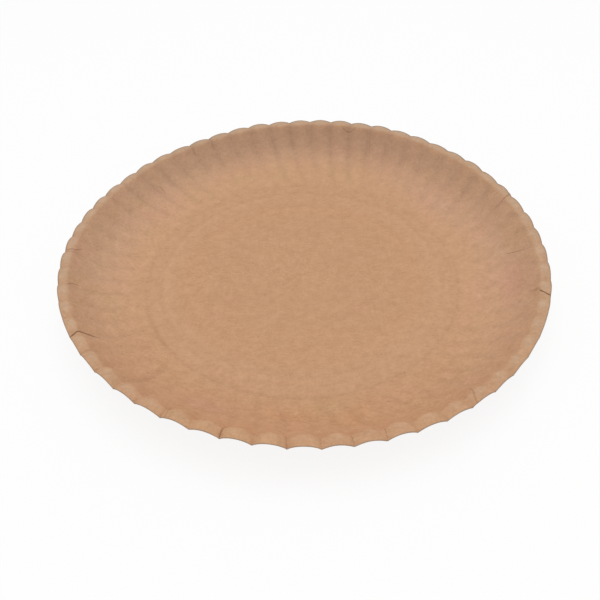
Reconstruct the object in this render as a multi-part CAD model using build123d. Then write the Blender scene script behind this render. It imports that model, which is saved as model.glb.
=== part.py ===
from build123d import *

import math
import os

# A fluted round plate, pressed from one disc of kraft board. Millimetres, +Z up.
# The origin is the middle of the ring that the plate stands on, at its underside.

# Board
board = 0.5                # thickness of the sheet

# Rim
rim_diameter = 230.0       # across the cut edge
lip_width = 5.0            # from the cut edge in to the corner where the lip meets the wall
depth = 18.8               # from the foot ring's top up to the lip's top, at a cusp

# Flutes: each is an arch between two sharp cusps, deepest under the lip, gone at the floor
flute_count = 58
flute_rise = 1.4           # how much higher the lip stands on a crest than at a cusp
flute_inset = 0.6          # how much further in the wall's corner stands on a crest
cusp_bend = 1.0            # inside radius of the wall's bend into the lip, at a cusp
crest_bend = 2.0           # the same bend on a crest, where the sheet isn't gathered

# Wall
floor_diameter = 154.0     # across the pressed crease where the wall starts
wall_foot_slope = 10.0     # degrees that the wall leaves the floor at

# Floor: a flat foot ring, then two low embossed steps up to a flat middle
foot_ring_width = 6.0      # from the wall's crease in to the foot of the outer step
outer_step_run = 3.3       # how wide the outer step's slope is
outer_step_rise = 0.35
terrace_width = 9.4        # flat between the two steps
inner_step_run = 1.0
inner_step_rise = 0.15

# The curves of wall and bend are pressed in narrow flat bands, so that 58 flutes stay light
wall_band_count = 5
bend_band_count = 2

rim_radius = rim_diameter / 2
floor_radius = floor_diameter / 2
pitch = 360 / flute_count
lip_top = board + depth


def along_arc(centre, radius, start, end, bands):
    """Points that split an arc round a centre into equal bands, both ends among them."""
    angles = [start + (end - start) * n / bands for n in range(bands + 1)]
    return [centre + Vector(math.cos(angle), math.sin(angle)) * radius for angle in angles]


def side_of_sheet(corner, bend, sink):
    """One side of the sheet in the plane of radius and height: top (sink 0) or underside (board).

    The wall leaves the floor at its foot slope, on an arc that would pass through the corner.
    The bend is an arc the other way, which touches both the wall's arc and the level lip.
    """
    slope = math.radians(wall_foot_slope)
    foot = Vector(floor_radius, board)
    chord = corner - foot
    turn = math.atan2(chord.Y, chord.X) - slope
    wall_radius = chord.length / (2 * math.sin(turn))
    wall_centre = foot + Vector(-math.sin(slope), math.cos(slope)) * wall_radius

    bend_radius = bend + board
    drop = corner.Y - bend_radius - wall_centre.Y
    bend_centre = wall_centre + Vector(math.sqrt((wall_radius + bend_radius) ** 2 - drop**2), drop)
    meeting = math.atan2(drop, bend_centre.X - wall_centre.X)

    outer_radius = wall_radius + sink
    floor_drop = board - sink - wall_centre.Y
    foot_angle = math.asin(floor_drop / outer_radius)
    wall = along_arc(wall_centre, outer_radius, foot_angle, meeting, wall_band_count)
    over = along_arc(bend_centre, bend_radius - sink, meeting + math.pi, math.pi / 2, bend_band_count)
    return wall + over[1:] + [Vector(rim_radius, corner.Y - sink)]


def section(corner, bend, angle):
    """The sheet from the floor out over the lip, round its cut edge and back, turned about Z."""
    top = side_of_sheet(corner, bend, 0)
    underside = side_of_sheet(corner, bend, board)
    outline = Plane.XZ.location * Polyline(*top, *reversed(underside))
    return Wire(Rot(0, 0, angle) * outline)


def flute():
    """One arch of wall and lip, from cusp over crest to cusp, both sides of the sheet."""
    cusp_corner = Vector(rim_radius - lip_width, lip_top)
    crest_corner = cusp_corner + Vector(-flute_inset, flute_rise)
    return Shell.make_loft([
        section(cusp_corner, cusp_bend, 0),
        section(crest_corner, crest_bend, pitch / 2),
        section(cusp_corner, cusp_bend, pitch),
    ])


def stepped_floor(level):
    """One side of the floor inside the foot ring, as a surface turned about Z."""
    outer_foot = floor_radius - foot_ring_width
    outer_top = outer_foot - outer_step_run
    inner_foot = outer_top - terrace_width
    inner_top = inner_foot - inner_step_run
    terrace = level + outer_step_rise
    middle = terrace + inner_step_rise
    profile = Polyline(
        (outer_foot, 0, level),
        (outer_top, 0, terrace),
        (inner_foot, 0, terrace),
        (inner_top, 0, middle),
        (0, 0, middle),
    )
    return Shell.revolve(profile, 360, Axis.Z)


def foot_ring(level, flutes, floor):
    """One side of the flat ring between the feet of the flutes and the outer step."""
    feet = [edge for each in flutes for edge in each.edges() if lies_at(edge, level)]
    step = floor.edges().filter_by(GeomType.CIRCLE).sort_by(SortBy.RADIUS)[-1]
    return Face(Wire(feet), [Wire([step])])


def lies_at(edge, level):
    """Whether an edge is level, at a height."""
    reach = edge.bounding_box()
    return abs(reach.min.Z - level) < board / 100 and abs(reach.max.Z - level) < board / 100


def plate():
    """The flutes in a ring round the floor, sewn into one closed sheet."""
    one = flute()
    flutes = [Rot(0, 0, pitch * n) * one for n in range(flute_count)]
    faces = [face for each in flutes for face in each.faces()]
    for level in (board, 0):
        floor = stepped_floor(level)
        faces += [*floor.faces(), foot_ring(level, flutes, floor)]
    return Solid(Shell(faces))


os.makedirs("parts", exist_ok=True)
export_step(plate(), "parts/plate.step")
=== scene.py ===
import math

import bpy
import numpy as np
from bpy.props import (
    FloatProperty,
    FloatVectorProperty,
    IntProperty,
    PointerProperty,
    StringProperty,
)
from mathutils import Matrix, Vector


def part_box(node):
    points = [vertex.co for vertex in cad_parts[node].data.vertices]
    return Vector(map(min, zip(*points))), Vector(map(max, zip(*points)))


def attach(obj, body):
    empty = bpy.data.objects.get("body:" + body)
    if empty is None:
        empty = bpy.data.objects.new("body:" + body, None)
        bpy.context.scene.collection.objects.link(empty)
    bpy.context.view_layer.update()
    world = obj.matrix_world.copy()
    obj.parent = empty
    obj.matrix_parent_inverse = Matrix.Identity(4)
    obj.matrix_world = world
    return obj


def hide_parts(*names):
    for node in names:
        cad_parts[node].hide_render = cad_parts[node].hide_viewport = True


bl_info = {
    "name": "Fluted kraft plate",
    "version": (1, 0, 0),
    "blender": (4, 5, 0),
    "location": "View3D > Sidebar > Kraft plate",
    "description": "Presses a round fluted plate from a disc of brown kraft board",
    "category": "Add Mesh",
}

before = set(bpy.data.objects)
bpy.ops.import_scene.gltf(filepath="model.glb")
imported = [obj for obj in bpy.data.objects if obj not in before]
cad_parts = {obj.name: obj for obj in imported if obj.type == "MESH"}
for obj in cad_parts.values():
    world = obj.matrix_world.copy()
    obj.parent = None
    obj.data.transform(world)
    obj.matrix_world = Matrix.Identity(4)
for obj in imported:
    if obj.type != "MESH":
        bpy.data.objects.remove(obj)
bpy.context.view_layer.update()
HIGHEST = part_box("plate")[1]

MM = 0.001
TAU = 2 * math.pi
FLUTE_RISE = 1.4 * MM


# --- Settings ---------------------------------------------------------------------------------


def length(label, about, default):
    """A size in metres that the sidebar shows with its unit."""
    return FloatProperty(
        name=label, description=about, default=default, unit="LENGTH", precision=5
    )


def slant(label, about, degrees):
    """An angle that the sidebar shows in degrees."""
    return FloatProperty(
        name=label, description=about, default=math.radians(degrees), subtype="ANGLE"
    )


def amount(label, about):
    """One kind of wear, from none of it to twice what this plate has."""
    return FloatProperty(name=label, description=about, default=1, min=0, max=2)


def colour(label, about, default):
    """A colour as an sRGB hex value."""
    return StringProperty(name=label, description=about, default=default)


class PlateSizes(bpy.types.PropertyGroup):
    """The pressed form, as the frame has it."""

    rim_radius: length("Rim radius", "From the middle to the cut edge", HIGHEST.x)
    board: length("Board", "Thickness of the sheet", 0.5 * MM)
    lip_top: length("Lip height", "Height of the lip's top at a cusp", HIGHEST.z - FLUTE_RISE)
    lip_width: length("Lip width", "From the cut edge in to the corner with the wall", 4.1 * MM)
    floor_radius: length("Floor radius", "From the middle to the wall's pressed crease", 77 * MM)
    flute_rise: length("Flute rise", "How much higher a crest stands than a cusp", FLUTE_RISE)
    flute_inset: length("Flute inset", "How much further in a crest's corner stands", 0.6 * MM)
    cusp_bend: length("Cusp bend", "Inside radius of the bend into the lip at a cusp", 1.5 * MM)
    crest_bend: length("Crest bend", "Inside radius of the bend into the lip on a crest", 2 * MM)
    flute_count: IntProperty(
        name="Flutes", description="Arches round the rim", default=58, min=12, max=120
    )
    foot_slope: slant("Foot slope", "Angle that the wall leaves the floor at", 10)
    lip_droop: slant("Lip droop", "Angle that the lip hangs by on its way out to the edge", 9)


class PlateWear(bpy.types.PropertyGroup):
    """How far this plate is from a fresh, even pressing."""

    warp: amount("Warp", "How much of the rim's twist shows")
    uneven: amount("Uneven flutes", "How much one flute differs from the next")
    folds: amount("Folds", "Depth of the creases in wall and lip")
    lean: amount("Lean", "How much the flutes' valleys swirl on their way in to the floor")


class PlateFinish(bpy.types.PropertyGroup):
    """Colours of the board."""

    board_colour: colour("Board", "Kraft board where nothing has touched it", "#C39773")
    # Warm and cool: the wall is warmer at the front and greyer at the sides, back and outer floor.
    warm_colour: colour("Warm wall", "Wall on the side that the die heated most", "#C6956E")
    cool_colour: colour("Cool wall", "Wall on the other sides, a little greyer", "#C19B7D")
    # Pressed board: partly squeezed board, partly painted shade, strongest under the back lip.
    pressed_and_shaded_colour: colour("Pressed board", "Board squeezed and bruised under the lip", "#B28E73")
    # Lip: partly rubbed board, partly a painted sheen on the crests.
    lip_colour: colour("Lip", "Lip that the die has rubbed pale and smooth", "#C2A184")
    pink_colour: colour("Pink cloud", "Clouds where the pulp is redder", "#C5977C")
    straw_colour: colour("Straw cloud", "Clouds where the pulp is yellower", "#C29B74")
    light_pulp: colour("Light pulp", "Pulp where the fibres lie thick", "#CFA380")
    dark_pulp: colour("Dark pulp", "Pulp where the fibres lie thin", "#B78B68")
    fleck_colour: colour("Fleck", "Bark and dark fibres in the pulp", "#7E5A41")
    # Cut edge: partly the raw board's grey, partly painted shade along the edge.
    edge_colour: colour("Cut edge", "Raw edge of the board, left grey by the die", "#8C7C6C")
    # Crease: partly broken surface, partly painted shade in folds and pinched cusps.
    crease_and_shade_colour: colour("Crease", "Broken surface in the bottom of a fold", "#6E4632")


class PlateStudio(bpy.types.PropertyGroup):
    """Camera and light."""

    lens: FloatProperty(name="Lens", description="Focal length", default=42.03, min=10, max=200)
    camera_place: FloatVectorProperty(
        name="Camera place",
        description="Where the camera stands",
        default=(0.00171, -0.25976, 0.23541),
        subtype="XYZ",
        unit="LENGTH",
    )
    camera_down: slant("Look down", "Angle that the camera looks down by", 44.118)
    camera_turn: slant("Turn", "Angle that the camera is turned about the upright", 0.634)
    camera_roll: slant("Roll", "Angle that the camera is rolled about its line of sight", -1.397)
    sky: FloatProperty(
        name="Sky", description="Strength of the even light from all round", default=0.6, min=0
    )
    key: FloatProperty(
        name="Key lamp", description="Power of the big soft lamp above", default=4.4, min=0
    )
    key_width: length("Key lamp width", "Across the round face of the lamp", 0.9)
    key_place: FloatVectorProperty(
        name="Key lamp place",
        description="Where the lamp hangs, a little to the front",
        default=(0, -0.05, 1),
        subtype="XYZ",
        unit="LENGTH",
    )


SETTINGS = {
    "plate_sizes": PlateSizes,
    "plate_wear": PlateWear,
    "plate_finish": PlateFinish,
    "plate_studio": PlateStudio,
}


# --- Form of the pressed sheet ----------------------------------------------------------------

# Columns across one flute, from cusp to cusp: closer together at the cusps, where it's sharp.
COLUMNS = np.array(
    [0, 0.03, 0.08, 0.15, 0.23, 0.32, 0.41, 0.5, 0.59, 0.68, 0.77, 0.85, 0.92, 0.97]
)
FLOOR_THINNING = 4         # the floor has one column for so many of the wall's
TOP_ROWS = (36, 8, 8)      # bands of faces up the wall, round the bend and across the lip
UNDERSIDE_ROWS = (18, 4, 4)
DROOP_START = 1 * MM       # how far outside the corner the lip starts to droop
SHARP_EDGE = math.radians(50)
SEED = 58

# How one flute differs from the next: its cusp's place and its crest's lean, in flutes, and its
# height, the strength of its valley's painted shade and the root of its cusp's strongest pinch,
# against one.
CUSP_SPREAD, LEAN_SPREAD = 0.012, 0.16
RISE_SPREAD, VALLEY_SPREAD, MOST_PINCH = 0.08, 0.6, 1.1
PINCH_WIDTH = 0.6          # half the width of a pinched cusp's groove, in mm
PINCH_DEPTH = 0.15         # how deep the groove of a full pinch goes, in mm

# How the flutes' height and the rim's warp go round the plate, as the sum of no wave, one, two
# and three of them: the share that goes with the cosine and the share that goes with the sine.
# The flutes' angles count from the side where they stand tallest, and the warp's from +X.
TALLEST_FLUTES = math.radians(-100)
RISE_WAVES = ((1.1, 0), (0.33, 0), (0.12, 0))
WARP_UP = ((0.19, 0), (0, -0.11), (-1.17, 2.16), (-0.08, -0.24))
WARP_OUT = ((-0.1, 0), (0.62, -0.75), (0.18, -0.8), (0.28, 0.11))
WARP_START = 0.66          # the warp, in mm at the rim, grows from this share of its radius

# The valleys swirl on their way in: where that starts as a share of the rim's radius, how many mm
# it goes on for, and by how many flutes they swing for each mm and each cubic mm.
SWIRL_START, SWIRL_REACH = 0.932, 31
SWIRL_EVEN, SWIRL_GROWING = 0.0175, 1.56e-5

# The cockle's waves in mm, and how high each one is for each mm of its length.
COCKLE_WAVES = (58, 43, 34, 27, 21, 17)
COCKLE_HEIGHT = 0.0011

# Rows of the floor from the middle outward: radius, and height above the flat foot ring, in mm.
FLOOR_ROWS = (
    (0, 0.5), (12, 0.5), (24, 0.5), (36, 0.5), (45, 0.5), (52, 0.5), (55, 0.51),
    (55.9, 0.53), (56.6, 0.5), (57.3, 0.42), (58, 0.35), (59, 0.33), (61, 0.34), (63.5, 0.35),
    (64.8, 0.37), (65.8, 0.42), (66.8, 0.47), (67.6, 0.46), (68.4, 0.38), (69.4, 0.24),
    (70.2, 0.12), (70.8, 0.06), (71.8, 0.03), (73, 0.01), (74.5, 0), (76.2, -0.02),
)

# Folds where the plate was handled or the board gathered: strength, lift of one lip of the fold
# over the other in mm, half the width of its dark line in mm, and its points as millimetres from
# the middle and degrees round from +X. A fold that starts beyond RIM_FOLDS starts at the edge.
FOLDS = (
    (0.8, 0.12, 0.3, (
        (115.6, -148.7), (112.9, -149.2), (110.3, -149.6), (107.9, -149.6), (102.5, -149.2),
    )),
    (1.0, 0.12, 0.35, ((115.6, -17.7), (110.6, -17.0), (109.6, -16.4))),
    (0.3, 0.1, 0.7, ((110.4, -16.9), (109.2, -16.2), (106.0, -16.0))),
    (0.7, 0.2, 0.25, ((115.2, 19.6), (110.2, 18.6), (108.2, 18.4), (104.4, 18.4))),
    (0.6, 0.2, 0.25, ((111.2, -0.8), (105.8, 0.3), (98.8, 1.8))),
    (0.4, 0.12, 0.25, ((111.4, -167.2), (108.5, -168.4), (105.8, -168.5))),
    (0.4, 0.12, 0.25, ((114.6, 179.3), (110.2, 179.3), (107.2, 177.7))),
    (0.4, 0.1, 0.25, ((102.4, 140.4), (100.1, 140.2), (97.2, 140.6))),
    (0.3, 0.08, 0.25, ((106.6, 147.4), (104.1, 148.2), (102.6, 148.4))),
    (0.2, 0.06, 0.25, ((113.4, 68.4), (105.4, 67.1), (96.5, 65.5))),
    (0.35, 0.1, 0.3, ((110.1, 77.3), (108.8, 75.6), (108.9, 74.0), (110.6, 72.3))),
    (0.1, 0.08, 1.6, (
        (109.2, -133.6), (106.1, -131.4), (100.7, -130.9), (90.5, -133.4), (79.6, -137.9),
    )),
    (0.09, 0.08, 1.4, ((77.4, -157.6), (77.5, -149.0), (77.4, -139.2))),
    (0.3, 0.12, 0.25, ((114.2, -80.7), (109.6, -80.9))),
    (0.15, 0.1, 0.25, ((114.8, -86.7), (109.6, -86.8))),
    (0.2, 0.12, 0.25, ((114.8, -93.1), (108.4, -93.3))),
    (0.3, 0.2, 0.4, ((114.8, -54.9), (110.5, -53.8), (106.2, -52.5))),
    (0.35, 0.1, 0.25, ((114.6, -105.5), (112.2, -105.6), (109.4, -105.6))),
    (0.3, 0.1, 0.25, ((114.4, -74.5), (111.4, -74.2), (109.0, -74.0))),
    (0.25, 0.1, 0.3, ((114.4, -116.8), (111.4, -117.2), (107.2, -118.4))),
)
RIM_FOLDS = 113.5
FADE_IN, FADE_OUT = 0.3, 0.25    # shares of a fold's length that it comes and goes over
FOLD_REACH = 5.0                 # how far a fold is felt, in mm
FOLD_GROOVE = (0.08, 0.6)        # depth of the groove along it and half its width, in mm
FOLD_RAISED = 2.0                # how far from it its raised lip has sunk to a third, in mm
NO_FOLD = (9.0, 30.0)            # distance where there is no fold, in mm and in half widths


def smooth(value, low, high):
    """Nought below a range, one above it, and an even S between."""
    share = np.clip((value - low) / (high - low), 0, 1)
    return share**2 * (3 - 2 * share)


def bell(value, middle, half):
    """One at a middle, a third at its half width, and nought well beyond."""
    return np.exp(-(((value - middle) / half) ** 2))


def waves(shares, angle):
    """The sum of waves round the plate, each with its own cosine and sine."""
    return sum(
        cosine * np.cos(count * angle) + sine * np.sin(count * angle)
        for count, (cosine, sine) in enumerate(shares)
    )


def side_of_sheet(sizes, arch, rise, sink, bands):
    """One side of wall, bend and lip as arrays of radius and height, a row for each step outward.

    The wall leaves the floor on an arc that would pass through the corner, and the bend is an
    arc the other way that touches the wall's arc and runs on down into the drooping lip.
    """
    edge_z = sizes.lip_top + sizes.flute_rise * arch * rise
    corner_r = sizes.rim_radius - sizes.lip_width - sizes.flute_inset * arch * rise
    corner_z = edge_z + math.tan(sizes.lip_droop) * (sizes.lip_width - DROOP_START)
    bend = sizes.cusp_bend + (sizes.crest_bend - sizes.cusp_bend) * arch
    chord_r, chord_z = corner_r - sizes.floor_radius, corner_z - sizes.board
    turn = np.arctan2(chord_z, chord_r) - sizes.foot_slope
    wall_radius = np.hypot(chord_r, chord_z) / (2 * np.sin(turn))
    centre_r = sizes.floor_radius - math.sin(sizes.foot_slope) * wall_radius
    centre_z = sizes.board + math.cos(sizes.foot_slope) * wall_radius

    bend_radius = bend + sizes.board
    drop = corner_z - bend_radius - centre_z
    bend_r = centre_r + np.sqrt((wall_radius + bend_radius) ** 2 - drop**2)
    meeting = np.arctan2(drop, bend_r - centre_r)

    outer = wall_radius + sink
    foot = np.arcsin((sizes.board - sink - centre_z) / outer)
    wall_bands, bend_bands, lip_bands = bands
    radius, height = [], []
    for step in np.linspace(0, 1, wall_bands + 1):
        angle = foot + (meeting - foot) * step
        radius.append(centre_r + np.cos(angle) * outer)
        height.append(centre_z + np.sin(angle) * outer)
    over = math.pi / 2 - sizes.lip_droop
    for step in np.linspace(0, 1, bend_bands + 1)[1:]:
        angle = meeting + math.pi + (over - meeting - math.pi) * step
        radius.append(bend_r + np.cos(angle) * (bend_radius - sink))
        height.append(corner_z - bend_radius + np.sin(angle) * (bend_radius - sink))
    last_r, last_z = radius[-1], height[-1]
    for step in np.linspace(0, 1, lip_bands + 1)[1:]:
        radius.append(last_r + (sizes.rim_radius - last_r) * step)
        height.append(last_z + (edge_z - sink - last_z) * step)
    return np.array(radius), np.array(height)


def flute_columns(sizes, wear):
    """Each column's angle, height on its arch, rise, pinch and its valley's painted shade.

    The height comes twice: crisp, with a sharp cusp as at the cut edge, and then soft, with the
    rounder valley that the wall has. Valleys are roundest on the right, at +X.
    """
    draw = np.random.default_rng(SEED)
    count = sizes.flute_count
    pitch = TAU / count
    cusps = np.arange(count) + draw.normal(0, CUSP_SPREAD, count) * wear.uneven
    after = np.append(cusps[1:], cusps[0] + count)
    lean = draw.normal(0, LEAN_SPREAD, count) * wear.uneven
    rise = waves(RISE_WAVES, cusps * pitch - TALLEST_FLUTES)
    rise = 1 + (rise - 1 + draw.normal(0, RISE_SPREAD, count)) * wear.uneven
    pinch = draw.uniform(0, MOST_PINCH, count) ** 2 * wear.uneven
    pinch *= 1 - 0.85 * smooth(np.cos(cusps * pitch), 0.1, 0.7)    # hardly any on the right
    depth = 1 + draw.uniform(-VALLEY_SPREAD, VALLEY_SPREAD, count) * wear.uneven

    across = COLUMNS[None, :]
    angle = (cusps[:, None] + (after - cusps)[:, None] * across) * pitch
    leaning = 2 * (across + lean[:, None] * across * (1 - across) * (1 - 2 * across)) - 1
    crisp = 1 - leaning**2
    pointed = 0.5 - 0.45 * np.clip(np.cos(angle), 0, 1)
    soft = crisp * pointed + (1 + np.cos(math.pi * leaning)) / 2 * (1 - pointed)

    # The first half of a flute takes its own cusp's pinch and valley, the second half the next's.
    own = across < 0.5
    pinched = np.where(own, pinch[:, None], np.roll(pinch, -1)[:, None])
    from_cusp = np.minimum(across, 1 - across) * pitch * sizes.rim_radius / MM
    pinched = pinched * bell(from_cusp, 0, PINCH_WIDTH)
    depth = np.where(own, depth[:, None], np.roll(depth, -1)[:, None])
    columns = np.broadcast_arrays(angle, crisp, soft, rise[:, None], pinched, depth)
    return [column.ravel() for column in columns]


def swirl(sizes, wear, radius):
    """Angle that a valley has swung by, on its way in from the lip."""
    inward = np.clip((SWIRL_START * sizes.rim_radius - radius) / MM, 0, SWIRL_REACH)
    flutes = SWIRL_EVEN * inward + SWIRL_GROWING * inward**3
    return -flutes * wear.lean * TAU / sizes.flute_count


def warp(sizes, wear, radius, angle):
    """How far the drying board has pulled the rim up or down, and in or out, in metres."""
    start = WARP_START * sizes.rim_radius
    share = np.clip((radius - start) / (sizes.rim_radius - start), 0, 1) ** 1.2
    out, up = waves(WARP_OUT, angle), waves(WARP_UP, angle)
    return out * share * wear.warp * MM, up * share * wear.warp * MM


def cockle(x, y):
    """Gentle waves that a disc of board keeps when it's pressed, in mm of height."""
    draw = np.random.default_rng(SEED + 1)
    height = np.zeros(x.shape)
    for wave in COCKLE_WAVES:
        for _ in range(2):
            turn, phase = draw.uniform(0, TAU, 2)
            along = x * math.cos(turn) + y * math.sin(turn)
            height += COCKLE_HEIGHT * wave * np.sin(TAU / wave * along + phase)
    return height


def beside_line(x, y, line):
    """Distance to a line of points, signed by its side, how far along that is, and its length."""
    signed, along = np.full(x.shape, NO_FOLD[0]), np.zeros(x.shape)
    walked = 0
    for (ax, ay), (bx, by) in zip(line, line[1:]):
        run = math.dist((ax, ay), (bx, by))
        ux, uy = (bx - ax) / run, (by - ay) / run
        ahead = (x - ax) * ux + (y - ay) * uy
        aside = (y - ay) * ux - (x - ax) * uy
        on_run = np.clip(ahead, 0, run)
        gap = np.hypot(aside, ahead - on_run)
        closer = gap < np.abs(signed)
        signed = np.where(closer, np.copysign(gap, aside), signed)
        along = np.where(closer, walked + on_run, along)
        walked += run
    return signed, along, walked


def fold_fields(x, y):
    """Signed distance to the nearest fold in its half widths and in mm, its strength and lift."""
    fold_mm, across = np.full(x.shape, NO_FOLD[0]), np.full(x.shape, NO_FOLD[1])
    strength, lift = np.zeros(x.shape), np.zeros(x.shape)
    for depth, raised, half, points in FOLDS:
        turns = [math.radians(turn) for _, turn in points]
        line = [(r * math.cos(t), r * math.sin(t)) for (r, _), t in zip(points, turns)]
        signed, along, total = beside_line(x, y, line)
        at_rim = points[0][0] > RIM_FOLDS
        start = 1.0 if at_rim else np.clip(along / (FADE_IN * total), 0, 1)
        fade = start * np.clip((total - along) / (FADE_OUT * total), 0, 1)
        here = np.abs(signed) < np.minimum(np.abs(fold_mm), FOLD_REACH)
        across = np.where(here, signed / half, across)
        fold_mm = np.where(here, signed, fold_mm)
        strength = np.where(here, depth * fade, strength)
        lift = np.where(here, raised * fade, lift)
    return across, fold_mm, strength, lift


def floor_rows(level):
    """Radius and height of the floor's rows, from the middle out, on one side of the sheet."""
    return [(radius * MM, level + height * MM) for radius, height in FLOOR_ROWS]


def ring_faces(inner, outer):
    """Faces between two rings of points, also where one has several points to the other's one."""
    made = []
    count = min(len(inner), len(outer))
    for n in range(count):
        loop = []
        for ring, backward in ((inner, True), (outer, False)):
            share = len(ring) // count
            run = [ring[(n * share + i) % len(ring)] for i in range(share + 1)]
            loop += run[::-1] if backward else run
        made.append(tuple(loop))
    return made


def sheet_faces(rings):
    """Faces between the rings in turn, and round the two middles, which come after them."""
    faces = []
    for inner, outer in zip(rings, rings[1:]):
        faces += ring_faces(list(inner), list(outer))
    hub = rings[-1].stop
    for ring, turned in ((rings[0], False), (rings[-1], True)):
        for n in range(len(ring)):
            rim = (ring[n], ring[(n + 1) % len(ring)])
            faces.append((hub, *(reversed(rim) if turned else rim)))
        hub += 1
    return faces


def even_sheet(sizes, wear):
    """The sheet before it warps: its rings, and each point's radius, angle, height and fluting.

    The rings run from the middle of the top out to the cut edge, and back in underneath. The
    fluting is the point's height on its arch, its pinch and the strength of its valley's painted
    shade.
    """
    angle, crisp, soft, rise, *others = flute_columns(sizes, wear)
    # Cusps turn sharp out on the lip, on the right only near the cut edge. Radii are in mm.
    sharp_from = 110.5 + 3.2 * np.clip(np.cos(angle), 0, 1)
    sides = []
    for sink, bands in ((0, TOP_ROWS), (sizes.board, UNDERSIDE_ROWS)):
        sharp = np.array(side_of_sheet(sizes, crisp, rise, sink, bands))
        rounded = np.array(side_of_sheet(sizes, soft, rise, sink, bands))
        share = smooth(sharp[0] / MM, sharp_from, 115.2)
        sides.append(rounded + (sharp - rounded) * share)

    rings, rows = [], []

    def add_ring(radius, height, step=1):
        """One ring of points, on every column or on every so many of them."""
        start = rings[-1].stop if rings else 0
        rings.append(range(start, start + len(angle[::step])))
        own = [column[::step] for column in (angle, soft, *others)]
        rows.append(np.array(np.broadcast_arrays(radius, own[0], height, *own[1:])))

    floor_top, floor_under = floor_rows(sizes.board), floor_rows(0)
    for radius, height in floor_top[1:]:
        add_ring(radius, height, FLOOR_THINNING)
    for radius, height in zip(*sides[0]):
        add_ring(radius, height)
    for radius, height in reversed(list(zip(*sides[1]))):
        add_ring(radius, height)
    for radius, height in reversed(floor_under[1:]):
        add_ring(radius, height, FLOOR_THINNING)
    for _, middle in (floor_top[0], floor_under[0]):
        rows.append(np.array([[0], [0], [middle], [0], [0], [0]]))
    return rings, np.concatenate(rows, axis=1)


def press_sheet(sizes, wear):
    """Points and faces of the plate as it is now, and the marks on its points."""
    rings, (radius, turn, height, arch, pinched, depth) = even_sheet(sizes, wear)
    mm = radius / MM
    turn = turn + swirl(sizes, wear, radius)
    x, y = mm * np.cos(turn), mm * np.sin(turn)
    across, fold_mm, strength, lift = fold_fields(x, y)
    out, up = warp(sizes, wear, radius, turn)

    # The foot ring, at 74 mm, stays flat, so that the plate stands on it.
    loose = np.clip(np.abs(mm - 74) / 12 - 0.4, 0, 1)
    groove_depth, groove_half = FOLD_GROOVE
    fold = np.sign(fold_mm) * np.exp(-np.abs(fold_mm) / FOLD_RAISED) * lift
    fold = fold - strength * groove_depth * bell(fold_mm, 0, groove_half)
    height = height + up + cockle(x, y) * loose * MM
    height = height - pinched * PINCH_DEPTH * MM * smooth(mm, 104, 110)
    height = height + fold * wear.folds * MM
    placed = radius + out
    points = np.stack([placed * np.cos(turn), placed * np.sin(turn), height], 1)

    marks = board_marks(mm, turn, arch, depth)
    # The pinch mark places painted shade in the groove of a pinched cusp.
    marks["pinch"] = pinched * smooth(mm, 105, 109)
    marks["fold_across"] = across
    marks["fold_strength"] = strength * wear.folds
    # The cut edge's grey, partly the raw board and partly painted shade along the edge, reaches a
    # little further in at the back, at +Y.
    marks["from_edge"] = (sizes.rim_radius - radius) / MM - 0.4 * np.sin(turn)
    return points.tolist(), sheet_faces(rings), marks


def mesh_object(name, points, faces, marks=None):
    """A smooth-shaded object whose edges are sharp only where the board was cut."""
    mesh = bpy.data.meshes.new(name)
    mesh.from_pydata(points, [], faces)
    mesh.validate()
    mesh.polygons.foreach_set("use_smooth", [True] * len(mesh.polygons))
    mesh.set_sharp_from_angle(angle=SHARP_EDGE)
    for mark, values in (marks or {}).items():
        mesh.attributes.new(mark, "FLOAT", "POINT").data.foreach_set("value", values)
    made = bpy.data.objects.new(name, mesh)
    bpy.context.scene.collection.objects.link(made)
    return made


# --- Marks on the board -----------------------------------------------------------------------

# Rings on floor and crease, partly marks that the die has left and partly painted light and
# shade on its steps: radius and half width in mm, then how many percent lighter the board is
# there at the plate's sides, at its back (+Y) and at its front.
RINGS = (
    (79.8, 1.0, 1.6, 1.4, 0.6),
    (77.1, 0.8, -4, -3.2, -9),
    (75.2, 0.9, 0, 0, 1.6),
    (72.0, 1.0, 0, 0, 2.2),
    (70.2, 0.9, -2, -2.8, 0),
    (68.6, 0.8, 0.6, -0.6, 3.4),
    (67.4, 1.0, 4.6, 3.4, 0.6),
    (65.8, 0.9, 0, 0, -2.8),
    (57.2, 0.8, 0, -2.4, 0),
    (56.5, 0.9, 1, 0.4, 0.6),
    (55.0, 0.8, 0, 1.5, -0.8),
)

# Clouds that this sheet has: the mark that each adds to, its middle in mm and degrees round from
# +X, half its length round the plate and half its width across in mm, and how strong it is.
CLOUDS = (
    ("straw", 96, -40, 34, 9, 0.3),
    ("straw", 88, 97, 50, 6, 0.35),
    ("straw", 84, -82, 9, 5, 0.5),
    ("straw", 105, 8, 16, 4, 0.5),
    ("pink", 101, -12, 14, 6, 0.8),
    ("pink", 102, 80, 15, 6, 0.5),
    ("pink", 95, 37, 24, 9, 0.45),
    ("pink", 94, -112, 20, 8, 0.4),
    ("warm", 101, -148, 30, 8, 0.35),
    ("cool", 104, 8, 16, 5, 0.6),
    ("cool", 90, 36, 20, 6, 0.45),
    ("cool", 105, 158, 16, 4, 0.5),
    # These two make the board darker in a patch of the front-right wall and of the back-left lip.
    ("shade_and_tone", 101, -53, 24, 8, -0.025),
    ("shade_and_tone", 113, 120, 18, 3, -0.08),
)

# Dark specks of bark: radius in mm and degrees round from +X, then the speck's own radius in mm.
SPECKS = (
    (77.8, -55.4, 0.55), (46.5, -115.9, 0.4), (94.6, -133.7, 0.5), (64.6, -88.8, 0.35),
    (64.7, -94.9, 0.35),
)

# Every mark on the mesh that the board's material reads.
MARKS = (
    "warm", "cool", "pressed", "rubbed", "shade_and_tone", "pink", "straw", "clouded", "vigour",
    "pinch", "fold_across", "fold_strength", "from_edge",
)


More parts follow.
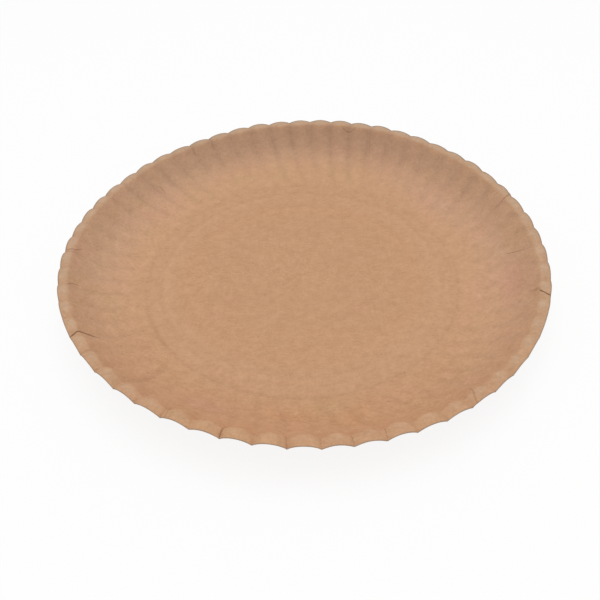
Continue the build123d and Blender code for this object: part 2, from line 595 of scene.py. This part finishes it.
def board_marks(mm, turn, arch, depth):
    """Where the board is warmer, greyer, pressed or rubbed, and how light it is, by point.

    The band under the lip is greyest at the plate's back, at +Y, partly with painted shade, and
    the front wall is warmest. All radii are in mm. The marks are shares from nought to one, apart
    from shade_and_tone, how light the board is with its painted light and shade, and vigour, how
    strongly its pulp shows, which are one where nothing changes.
    """
    back = np.clip(np.sin(turn), 0, 1) ** 1.5
    front = np.clip(-np.sin(turn), 0, 1) ** 1.5
    right = np.clip(np.cos(turn), 0, 1)

    def round_plate(at_sides, at_back, at_front):
        """A strength that differs between the plate's sides, its back and its front."""
        return at_sides * (1 - back - front) + at_back * back + at_front * front

    # The lip starts further in on a crest than at a cusp. Under it lies a band of greyer board,
    # partly squeezed by the die and partly painted shade, greyest at the back. The floor's edge,
    # and on the left and right its outer part, are lighter.
    bent = mm + (arch - 0.5) * round_plate(2, 3, 0)
    lip = smooth(bent + 0.9 * right, 109.6, 111.8)
    band = smooth(mm, 91, 107) * (1 - lip)
    foot = smooth(mm, 76.5, 83) * (1 - smooth(mm, 94, 104))
    on_wall = smooth(mm, 76, 88)
    floor_edge = smooth(mm, 45, 60) * (1 - smooth(mm, 76, 84))
    outer_floor = smooth(mm, 58, 67) * (1 - front * smooth(mm, 72, 80))

    shade_and_tone = 1.012 + 0.015 * floor_edge
    for middle, half, *lighter in RINGS:
        shade_and_tone += round_plate(*lighter) / 100 * bell(mm, middle, half)
    # Painted light makes the wall's foot lighter at the sides and back, with a little painted
    # shade at the front, and the band under the lip lighter at the sides and front. Painted shade
    # darkens the lip, most at the back.
    shade_and_tone += foot * round_plate(0.062, 0.062, -0.013)
    shade_and_tone += band * round_plate(0.03, 0, 0.045)
    shade_and_tone -= lip * round_plate(0.015, 0.035, 0)
    shade_and_tone += 0.016 * np.cos(turn) ** 2 * outer_floor * (1 - smooth(mm, 80, 90))

    # Painted shade darkens the valleys and painted light brightens the crests, most under the lip
    # and at the back, and least at the top of the front wall. Under the back lip a stroke of
    # painted shade runs down each valley.
    valley = smooth(mm, 77, 80) * (0.75 + 0.25 * smooth(mm, 84, 90))
    weaker_on_top = round_plate(0.45, 0, 0.85) - 0.4 * smooth(mm, 110, 112.5) * front
    valley *= 1 - smooth(mm, 101, 105) * weaker_on_top
    valley *= 1 + 0.15 * back + right * (0.8 * smooth(mm, 104, 108) - 0.3)
    valley *= 1 + (depth - 1) * (1 - 0.5 * back)
    valley *= 1 - 0.6 * lip * right
    shade_and_tone -= valley * (0.062 * (1 - arch) ** 1.5 - 0.016)
    valley_stroke_shade = smooth(mm, 96, 101) * (1 - smooth(mm, 107, 110.5)) * smooth(np.sin(turn), 0.1, 0.6)
    shade_and_tone -= 0.036 * valley_stroke_shade * (0.4 + 0.6 * depth) * (1 - arch) ** 5

    # The die has rubbed the back lip pale all over, and the rest of the lip a little. An oval on
    # each crest of the lip is paler again, partly rubbed and partly a painted sheen where the bend
    # meets the light.
    back_lip = smooth(bent, 110.4, 112.4)
    side_rub_and_sheen = bell(mm, 112.2, 1.3) * arch**2
    front_rub_and_sheen = bell(mm, 111.4, 1.1) * arch
    rubbed = round_plate(0.45 * lip + 0.9 * side_rub_and_sheen, 1.3 * back_lip, 0.2 * (lip + front_rub_and_sheen))
    cool = round_plate(0.58, 0.58, 0) * smooth(mm, 78, 98) + 0.22 * outer_floor
    marks = {
        "warm": front * smooth(mm, 75, 91),
        "cool": cool * (1 - lip),
        # The band under the lip is greyer, partly squeezed and partly painted shade, strongest at
        # the back.
        "pressed": band * round_plate(0.25, 0.9, 0.1),
        "rubbed": np.clip(rubbed, 0, 1),
        "shade_and_tone": shade_and_tone,
        "pink": np.zeros(mm.shape),
        "straw": 0.08 * outer_floor * (1 - smooth(mm, 86, 94)) + 0.15 * lip * front,
        "clouded": on_wall * (1 - 0.5 * front),
        "vigour": 1 + on_wall * round_plate(0.16, -0.15, 0.27),
    }
    for name, middle, degrees, half_length, half_width, strength in CLOUDS:
        round_mm = np.angle(np.exp(1j * (turn - math.radians(degrees)))) * middle
        marks[name] += strength * bell(round_mm, 0, half_length) * bell(mm, middle, half_width)
    return marks


# --- Kraft board ------------------------------------------------------------------------------


def linear(hex_value):
    """An sRGB hex value as linear red, green, blue and alpha."""
    parts = [int(hex_value[n : n + 2], 16) / 255 for n in (1, 3, 5)]
    return [c / 12.92 if c <= 0.04045 else ((c + 0.055) / 1.055) ** 2.4 for c in parts] + [1]


def add_node(tree, kind, settings=None, values=None, links=None):
    """Adds a node, with its own settings, its sockets' values and the sockets linked into it."""
    node = tree.nodes.new(kind)
    for name, value in (settings or {}).items():
        setattr(node, name, value)
    for socket, value in (values or {}).items():
        node.inputs[socket].default_value = value
    for socket, source in (links or {}).items():
        tree.links.new(source, node.inputs[socket])
    return node


def pulp_patterns(tree, place):
    """The patterns in the pulp, which are longer along X, the way that the board ran.

    Each has the size of its cells in mm, how many times longer they are along X, and its noise's
    detail and roughness. The felt is 1.1 mm and the fibres 0.8 mm across, coarser than real
    fibres of about 0.03 mm, which wouldn't show.
    """
    patterns = {}
    for name, size_mm, stretch, detail, roughness in (
        ("pink", 30, 1, 2, 0.5),
        ("straw", 22, 1, 2, 0.5),
        ("pulp", 4, 1.2, 3, 0.85),
        ("felt", 1.1, 1.1, 1, 0.8),
        ("fibres", 0.8, 4, 2, 0.6),
        ("flecks", 0.9, 1.5, 1, 0.5),
    ):
        scaled = add_node(
            tree, "ShaderNodeMapping",
            values={"Scale": [1 / (size_mm * MM * along) for along in (stretch, 1, 1)]},
            links={"Vector": place},
        )
        patterns[name] = add_node(
            tree, "ShaderNodeTexNoise",
            values={"Scale": 1.0, "Detail": detail, "Roughness": roughness},
            links={"Vector": scaled.outputs[0]},
        ).outputs["Fac"]
    return patterns


def with_scattered_clouds(tree, marks, patterns):
    """The marks, with scattered clouds on the stretched wall added to this sheet's own.

    Each kind has the values of its pattern where a cloud starts and is full, and its strength.
    """
    clouded = dict(marks)
    for name, start, full, strength in (("pink", 0.45, 0.65, 0.4), ("straw", 0.5, 0.68, 0.4)):
        cloud = add_node(
            tree, "ShaderNodeMapRange",
            values={"From Min": start, "From Max": full, "To Max": strength},
            links={"Value": patterns[name]},
        ).outputs["Result"]
        clouded[name] = add_node(
            tree, "ShaderNodeMath", {"operation": "MULTIPLY_ADD", "use_clamp": True},
            links={0: cloud, 1: marks["clouded"], 2: marks[name]},
        ).outputs[0]
    return clouded


def pressed_and_shaded_colour(tree, finish, marks):
    """The board's colour, pressed and rubbed, scaled by its tone with painted light and shade."""
    body = add_node(
        tree, "ShaderNodeMix", {"data_type": "RGBA"},
        {6: linear(finish.board_colour), 7: linear(finish.warm_colour)}, {0: marks["warm"]},
    ).outputs[2]
    for name, tint in (
        ("cool", finish.cool_colour),
        ("pink", finish.pink_colour),
        ("straw", finish.straw_colour),
        ("pressed", finish.pressed_and_shaded_colour),
        ("rubbed", finish.lip_colour),
    ):
        body = add_node(
            tree, "ShaderNodeMix", {"data_type": "RGBA"},
            {7: linear(tint)}, {0: marks[name], 6: body},
        ).outputs[2]
    return add_node(
        tree, "ShaderNodeVectorMath", {"operation": "SCALE"},
        links={0: body, "Scale": marks["shade_and_tone"]},
    ).outputs[0]


def with_weave(tree, finish, body, patterns, vigour):
    """A colour, made lighter and darker in equal steps where the pulp is thick and thin.

    The pulp's own clouds show most, then the felt and then the fibres, each round its middle.
    """
    weave = add_node(
        tree, "ShaderNodeMath", {"operation": "MULTIPLY_ADD"},
        {1: 1.3, 2: -0.65}, {0: patterns["pulp"]},
    ).outputs[0]
    for name, strength in (("felt", 0.75), ("fibres", 0.55)):
        centred = add_node(
            tree, "ShaderNodeMath", {"operation": "SUBTRACT"}, {1: 0.5}, {0: patterns[name]}
        ).outputs[0]
        weave = add_node(
            tree, "ShaderNodeMath", {"operation": "MULTIPLY_ADD"},
            {1: strength}, {0: centred, 2: weave},
        ).outputs[0]
    weave = add_node(
        tree, "ShaderNodeMath", {"operation": "MULTIPLY"}, links={0: weave, 1: vigour}
    ).outputs[0]
    thick, thin = linear(finish.light_pulp)[:3], linear(finish.dark_pulp)[:3]
    return add_node(
        tree, "ShaderNodeVectorMath", {"operation": "MULTIPLY_ADD"},
        {1: [light - dark for light, dark in zip(thick, thin)]}, {0: weave, 2: body},
    ).outputs[0]


def bark(tree, place, flecks):
    """How much bark shows: in scattered flecks, and in the few bigger specks of this sheet."""
    shown = add_node(
        tree, "ShaderNodeMapRange",
        values={"From Min": 0.755, "From Max": 0.81, "To Max": 0.5},
        links={"Value": flecks},
    ).outputs["Result"]
    flat = add_node(
        tree, "ShaderNodeVectorMath", {"operation": "MULTIPLY"}, {1: (1, 1, 0)}, {0: place}
    ).outputs[0]
    for from_middle, turn, size_mm in SPECKS:
        spot = [from_middle * MM * trig(math.radians(turn)) for trig in (math.cos, math.sin)]
        away = add_node(
            tree, "ShaderNodeVectorMath", {"operation": "DISTANCE"}, {1: (*spot, 0)}, {0: flat}
        ).outputs["Value"]
        speck = add_node(
            tree, "ShaderNodeMapRange",
            values={"From Min": size_mm * MM, "From Max": 0.3 * size_mm * MM, "To Max": 0.6},
            links={"Value": away},
        ).outputs["Result"]
        shown = add_node(
            tree, "ShaderNodeMath", {"operation": "MAXIMUM"}, links={0: shown, 1: speck}
        ).outputs[0]
    return shown


def crack_and_crease_shade(tree, marks):
    """Broken surface and painted shade along a fold's line, which fades out at its half width."""
    off_line = add_node(
        tree, "ShaderNodeMath", {"operation": "ABSOLUTE"}, links={0: marks["fold_across"]}
    ).outputs[0]
    line = add_node(
        tree, "ShaderNodeMapRange",
        values={"From Min": 1.3, "From Max": 0.3}, links={"Value": off_line},
    ).outputs["Result"]
    return add_node(
        tree, "ShaderNodeMath", {"operation": "MULTIPLY"},
        links={0: line, 1: marks["fold_strength"]},
    ).outputs[0]


def kraft_board(finish):
    """Unbleached kraft board, calendered and then pressed dry in a heated die.

    It is matt with hardly any sheen. The pulp settles in soft clouds, redder and yellower, with
    flecks of bark. The marks on the mesh say where the board is warmer or greyer and where the die
    has pressed, rubbed or creased it, and carry painted light and shade: darker valleys, lighter
    crests, a painted sheen on the lip's crests, painted shade along a fold's line and in a pinched
    cusp's bottom, and a cut edge greyed partly with painted shade.
    """
    material = bpy.data.materials.new("Pressed_kraft_board")
    material.use_nodes = True
    tree = material.node_tree
    tree.nodes.clear()
    place = add_node(tree, "ShaderNodeTexCoord").outputs["Object"]
    marks = {
        name: add_node(tree, "ShaderNodeAttribute", {"attribute_name": name}).outputs["Fac"]
        for name in MARKS
    }
    patterns = pulp_patterns(tree, place)
    body = pressed_and_shaded_colour(tree, finish, with_scattered_clouds(tree, marks, patterns))
    body = with_weave(tree, finish, body, patterns, marks["vigour"])

    # Painted shade darkens the bottom of a pinched cusp's groove.
    pinch = add_node(
        tree, "ShaderNodeMapRange",
        values={"From Min": 0.2, "From Max": 1.2, "To Max": 0.18}, links={"Value": marks["pinch"]},
    ).outputs["Result"]
    # The cut edge's grey is partly the raw board and partly painted shade along the edge.
    edge_grey_and_shade = add_node(
        tree, "ShaderNodeMapRange",
        values={"From Min": 0.8, "From Max": 0.2, "To Max": 0.7},
        links={"Value": marks["from_edge"]},
    ).outputs["Result"]
    for share, tint in (
        (bark(tree, place, patterns["flecks"]), finish.fleck_colour),
        (crack_and_crease_shade(tree, marks), finish.crease_and_shade_colour),
        (pinch, finish.crease_and_shade_colour),
        (edge_grey_and_shade, finish.edge_colour),
    ):
        body = add_node(
            tree, "ShaderNodeMix", {"data_type": "RGBA"}, {7: linear(tint)}, {0: share, 6: body}
        ).outputs[2]

    relief = add_node(
        tree, "ShaderNodeBump",
        values={"Strength": 0.25, "Distance": 0.05 * MM}, links={"Height": patterns["felt"]},
    ).outputs["Normal"]
    shader = add_node(
        tree, "ShaderNodeBsdfPrincipled",
        values={"Roughness": 0.88, "IOR": 1.5, "Specular IOR Level": 0.3},
        links={"Base Color": body, "Normal": relief},
    )
    add_node(tree, "ShaderNodeOutputMaterial", links={"Surface": shader.outputs[0]})
    return material


class PLATE_OT_press(bpy.types.Operator):
    """Presses the fluted plate and gives it its kraft board"""

    bl_idname = "plate.press"
    bl_label = "Press the plate"

    def execute(self, context):
        scene = context.scene
        points, faces, marks = press_sheet(scene.plate_sizes, scene.plate_wear)
        plate = mesh_object("fluted_plate", points, faces, marks)
        plate.data.materials.append(kraft_board(scene.plate_finish))
        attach(plate, "root")
        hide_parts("plate")
        return {"FINISHED"}


# --- Stage ------------------------------------------------------------------------------------

FLOOR_REACH = 6.0          # half the floor's width, in metres
FLOOR_DROP = 0.05 * MM     # keeps the floor clear of the plate's underside
FLOOR_WHITE = 0.88         # how much of the floor is plain white where it's seen directly
SENSOR_WIDTH = 36          # of the camera, in mm


def seen_directly(tree):
    """One where the camera or a reflection looks straight at a surface, and nought elsewhere."""
    path = add_node(tree, "ShaderNodeLightPath")
    seen = add_node(
        tree, "ShaderNodeMath", {"operation": "ADD"},
        links={0: path.outputs["Is Camera Ray"], 1: path.outputs["Is Glossy Ray"]},
    )
    seen = add_node(
        tree, "ShaderNodeMath", {"operation": "ADD", "use_clamp": True},
        links={0: seen.outputs[0], 1: path.outputs["Is Transmission Ray"]},
    )
    return seen.outputs[0]


def white_floor():
    """A wide sheet of matt white paper under the plate, which keeps the plate's soft shadow."""
    corners = [(-1, -1), (1, -1), (1, 1), (-1, 1)]
    points = [(x * FLOOR_REACH, y * FLOOR_REACH, -FLOOR_DROP) for x, y in corners]
    floor = mesh_object("floor", points, [(0, 1, 2, 3)])
    material = bpy.data.materials.new("Matt_white_paper")
    material.use_nodes = True
    tree = material.node_tree
    tree.nodes.clear()
    paper = add_node(tree, "ShaderNodeBsdfDiffuse", values={"Color": linear("#FAFAFA")})
    white = add_node(
        tree, "ShaderNodeEmission", values={"Color": linear("#FFFFFF"), "Strength": 1.0}
    )
    share = add_node(
        tree, "ShaderNodeMath", {"operation": "MULTIPLY"},
        {1: FLOOR_WHITE}, {0: seen_directly(tree)},
    )
    mix = add_node(
        tree, "ShaderNodeMixShader",
        links={0: share.outputs[0], 1: paper.outputs[0], 2: white.outputs[0]},
    )
    add_node(tree, "ShaderNodeOutputMaterial", links={"Surface": mix.outputs[0]})
    floor.data.materials.append(material)


def even_sky(studio):
    """Even light from all round, seen as plain white."""
    world = bpy.data.worlds.new("Even_sky")
    bpy.context.scene.world = world
    world.use_nodes = True
    tree = world.node_tree
    tree.nodes.clear()
    light, white = [
        add_node(
            tree, "ShaderNodeBackground",
            values={"Color": linear("#FFFFFF"), "Strength": strength},
        )
        for strength in (studio.sky, 1.0)
    ]
    mix = add_node(
        tree, "ShaderNodeMixShader",
        links={0: seen_directly(tree), 1: light.outputs[0], 2: white.outputs[0]},
    )
    add_node(tree, "ShaderNodeOutputWorld", links={"Surface": mix.outputs[0]})


def key_lamp(studio):
    """One big soft lamp above the plate, a little to the front, that points at its middle."""
    data = bpy.data.lights.new("key_lamp", "AREA")
    data.shape = "DISK"
    data.size = studio.key_width
    data.energy = studio.key
    lamp = bpy.data.objects.new("key_lamp", data)
    bpy.context.scene.collection.objects.link(lamp)
    lamp.location = studio.key_place
    lamp.rotation_euler = (-Vector(studio.key_place)).to_track_quat("-Z", "Y").to_euler()


def place_camera(studio):
    """The camera, in front of the plate and above it."""
    data = bpy.data.cameras.new("camera")
    data.sensor_width = SENSOR_WIDTH
    data.lens = studio.lens
    camera = bpy.data.objects.new("camera", data)
    bpy.context.scene.collection.objects.link(camera)
    camera.matrix_world = (
        Matrix.Translation(studio.camera_place)
        @ Matrix.Rotation(studio.camera_turn, 4, "Z")
        @ Matrix.Rotation(math.pi / 2 - studio.camera_down, 4, "X")
        @ Matrix.Rotation(studio.camera_roll, 4, "Z")
    )
    bpy.context.scene.camera = camera


class PLATE_OT_stage(bpy.types.Operator):
    """Sets up floor, light and camera"""

    bl_idname = "plate.stage"
    bl_label = "Set the stage"

    def execute(self, context):
        studio = context.scene.plate_studio
        white_floor()
        even_sky(studio)
        key_lamp(studio)
        place_camera(studio)
        context.scene.view_settings.view_transform = "Standard"
        return {"FINISHED"}


# --- Add-on -----------------------------------------------------------------------------------


class VIEW3D_PT_plate(bpy.types.Panel):
    """Settings and steps of the kraft plate"""

    bl_label = "Kraft plate"
    bl_space_type = "VIEW_3D"
    bl_region_type = "UI"
    bl_category = "Kraft plate"

    def draw(self, context):
        for name, group in SETTINGS.items():
            box = self.layout.box()
            for setting in group.__annotations__:
                box.prop(getattr(context.scene, name), setting)
        for step in STEPS:
            self.layout.operator(step.bl_idname)


STEPS = (PLATE_OT_press, PLATE_OT_stage)
CLASSES = (*SETTINGS.values(), *STEPS, VIEW3D_PT_plate)


def register():
    """Makes the settings, the steps and the panel known to Blender."""
    for each in CLASSES:
        bpy.utils.register_class(each)
    for name, group in SETTINGS.items():
        setattr(bpy.types.Scene, name, PointerProperty(type=group))


def unregister():
    """Takes them all out again."""
    for name in SETTINGS:
        delattr(bpy.types.Scene, name)
    for each in reversed(CLASSES):
        bpy.utils.unregister_class(each)


def main():
    """Registers the add-on, presses the plate and sets the stage."""
    register()
    bpy.ops.plate.press()
    bpy.ops.plate.stage()


if __name__ == "__main__":
    main()
